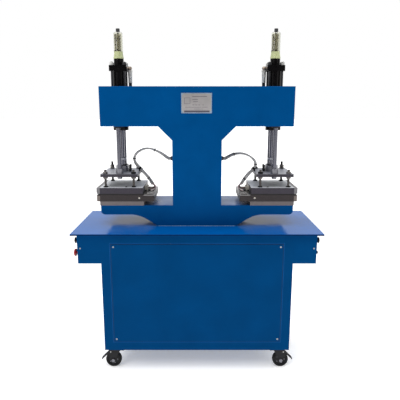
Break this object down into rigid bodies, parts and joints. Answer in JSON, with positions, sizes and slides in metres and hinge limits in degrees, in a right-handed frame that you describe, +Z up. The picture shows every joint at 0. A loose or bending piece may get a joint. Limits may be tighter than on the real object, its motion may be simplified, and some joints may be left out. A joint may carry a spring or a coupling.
{
  "type": "badge embossing press",
  "caption": "Twin-station hydraulic heat press for badges and fabric emblems, on a wheeled cabinet with a work table.",
  "frame": {"origin": "on the floor, under the middle of the table", "axes": "+Z up, +X to the operator's right, +Y away from the operator; both heads down at rest"},
  "size_m": [1.2, 0.485, 1.677],
  "materials": {
    "frame_paint": "semi-gloss blue hammered-smooth paint",
    "cabinet_paint": "semi-gloss blue powder coat",
    "table_paint": "glossy blue paint",
    "nameplate_metal": null,
    "zinc_fasteners": "zinc plated",
    "black_steel": "black enamel",
    "chrome_rod": "ground and hard chromed",
    "machined_steel": "milled",
    "dark_oxide": "black oxide",
    "nickel_fitting": "nickel plated, stained",
    "hose_rubber": "matt black",
    "cup_metal": "pale yellow-green passivated",
    "clear_tube": "clear plastic",
    "bronze": "machined bronze",
    "base_alu": "dull, heat stained",
    "lower_platen_metal": "dark heat-stained plate",
    "upper_platen_metal": "dark heat-stained plate",
    "board": "speckled insulation board",
    "mould_black": "matt",
    "cable_sleeve": "braided glass sleeve",
    "gland_plastic": "black nylon",
    "caster_metal": "dark plated pressed steel",
    "wheel_rubber": "black tread",
    "button_black": "satin",
    "button_red": "glossy",
    "instrument_plastic": "satin black bezel",
    "tank_paint": "blue",
    "motor_paint": "grey enamel",
    "pump_alu": "cast",
    "valve_steel": "zinc plated",
    "electrical": "moulded"
  },
  "bodies": {
    "root": {"table_top": "table_paint", "cabinet_shell": "cabinet_paint", "cabinet_front_panel": "cabinet_paint", "cabinet_rear_panel": "cabinet_paint", "panel_screws": "zinc_fasteners", "control_box_left": "frame_paint", "control_box_right": "frame_paint", "button_housings": "button_black", "panel_instruments": "instrument_plastic", "frame_front_plate": "frame_paint", "frame_rear_plate": "frame_paint", "frame_webs": "frame_paint", "nameplate": "nameplate_metal", "oil_tank": "tank_paint", "pump_motor": "motor_paint", "gear_pump": "pump_alu", "valve_block": "valve_steel", "contactor_panel": "electrical", "cylinder_barrels": "black_steel", "cylinder_caps": "black_steel", "cylinder_lock_nuts": "dark_oxide", "cylinder_tie_rods": "machined_steel", "port_elbows": "nickel_fitting", "hydraulic_hoses": "hose_rubber", "oil_cup_fittings": "cup_metal", "oil_cup_tubes": "clear_tube", "guide_bushings": "bronze", "base_plates": "base_alu", "lower_platens": "lower_platen_metal", "embossing_moulds": "mould_black", "cable_glands": "gland_plastic", "caster_plates": "caster_metal"},
    "press_head_left": {"piston_rod_left": "chrome_rod", "guide_rods_left": "chrome_rod", "ram_plate_left": "machined_steel", "levelling_studs_left": "dark_oxide", "upper_platen_left": "upper_platen_metal", "insulation_board_left": "board", "heater_cable_left": "cable_sleeve"},
    "press_head_right": {"piston_rod_right": "chrome_rod", "guide_rods_right": "chrome_rod", "ram_plate_right": "machined_steel", "levelling_studs_right": "dark_oxide", "upper_platen_right": "upper_platen_metal", "insulation_board_right": "board", "heater_cable_right": "cable_sleeve"},
    "swivel_front_left": {"caster_fork_front_left": "caster_metal"},
    "wheel_front_left": {"caster_wheel_front_left": "wheel_rubber"},
    "swivel_front_right": {"caster_fork_front_right": "caster_metal"},
    "wheel_front_right": {"caster_wheel_front_right": "wheel_rubber"},
    "swivel_rear_left": {"caster_fork_rear_left": "caster_metal"},
    "wheel_rear_left": {"caster_wheel_rear_left": "wheel_rubber"},
    "swivel_rear_right": {"caster_fork_rear_right": "caster_metal"},
    "wheel_rear_right": {"caster_wheel_rear_right": "wheel_rubber"},
    "brake_left": {"brake_pedal_left": "caster_metal"},
    "brake_right": {"brake_pedal_right": "caster_metal"},
    "start_button_left_body": {"start_button_left": "button_black"},
    "emergency_stop_body": {"emergency_stop": "button_red"},
    "start_button_right_body": {"start_button_right": "button_black"},
    "stop_button_body": {"stop_button": "button_black"}
  },
  "joints": [
    {"name": "press_slide_left", "type": "slide", "parent": "root", "child": "press_head_left", "axis": [0, 0, 1], "range_m": [0, 0.1], "deforming": ["heater_cable_left"]},
    {"name": "press_slide_right", "type": "slide", "parent": "root", "child": "press_head_right", "axis": [0, 0, 1], "range_m": [0, 0.1], "deforming": ["heater_cable_right"]},
    {"name": "swivel_turn_front_left", "type": "hinge", "parent": "root", "child": "swivel_front_left", "pos_m": [-0.4025, -0.1795, 0.093], "axis": [0, 0, 1], "continuous": true},
    {"name": "wheel_spin_front_left", "type": "hinge", "parent": "swivel_front_left", "child": "wheel_front_left", "pos_m": [-0.4265, -0.1795, 0.04], "axis": [0, 1, 0], "continuous": true},
    {"name": "swivel_turn_front_right", "type": "hinge", "parent": "root", "child": "swivel_front_right", "pos_m": [0.4025, -0.1795, 0.093], "axis": [0, 0, 1], "continuous": true},
    {"name": "wheel_spin_front_right", "type": "hinge", "parent": "swivel_front_right", "child": "wheel_front_right", "pos_m": [0.4265, -0.1795, 0.04], "axis": [0, 1, 0], "continuous": true},
    {"name": "swivel_turn_rear_left", "type": "hinge", "parent": "root", "child": "swivel_rear_left", "pos_m": [-0.4025, 0.1795, 0.093], "axis": [0, 0, 1], "continuous": true},
    {"name": "wheel_spin_rear_left", "type": "hinge", "parent": "swivel_rear_left", "child": "wheel_rear_left", "pos_m": [-0.4265, 0.1795, 0.04], "axis": [0, 1, 0], "continuous": true},
    {"name": "swivel_turn_rear_right", "type": "hinge", "parent": "root", "child": "swivel_rear_right", "pos_m": [0.4025, 0.1795, 0.093], "axis": [0, 0, 1], "continuous": true},
    {"name": "wheel_spin_rear_right", "type": "hinge", "parent": "swivel_rear_right", "child": "wheel_rear_right", "pos_m": [0.4265, 0.1795, 0.04], "axis": [0, 1, 0], "continuous": true},
    {"name": "brake_lift_left", "type": "hinge", "parent": "swivel_front_left", "child": "brake_left", "pos_m": [-0.4385, -0.1795, 0.087], "axis": [0, 1, 0], "range_deg": [0, 18]},
    {"name": "brake_lift_right", "type": "hinge", "parent": "swivel_front_right", "child": "brake_right", "pos_m": [0.4385, -0.1795, 0.087], "axis": [0, -1, 0], "range_deg": [0, 18]},
    {"name": "start_button_left_push", "type": "slide", "parent": "root", "child": "start_button_left_body", "axis": [1, 0, 0], "range_m": [0, 0.004], "stiffness_N_per_m": 1200, "springref_m": -0.002},
    {"name": "start_button_right_push", "type": "slide", "parent": "root", "child": "start_button_right_body", "axis": [-1, 0, 0], "range_m": [0, 0.004], "stiffness_N_per_m": 1200, "springref_m": -0.002},
    {"name": "stop_button_push", "type": "slide", "parent": "root", "child": "stop_button_body", "axis": [-1, 0, 0], "range_m": [0, 0.004], "stiffness_N_per_m": 1000, "springref_m": -0.002},
    {"name": "emergency_stop_push", "type": "slide", "parent": "root", "child": "emergency_stop_body", "axis": [1, 0, 0], "range_m": [0, 0.005]}
  ]
}
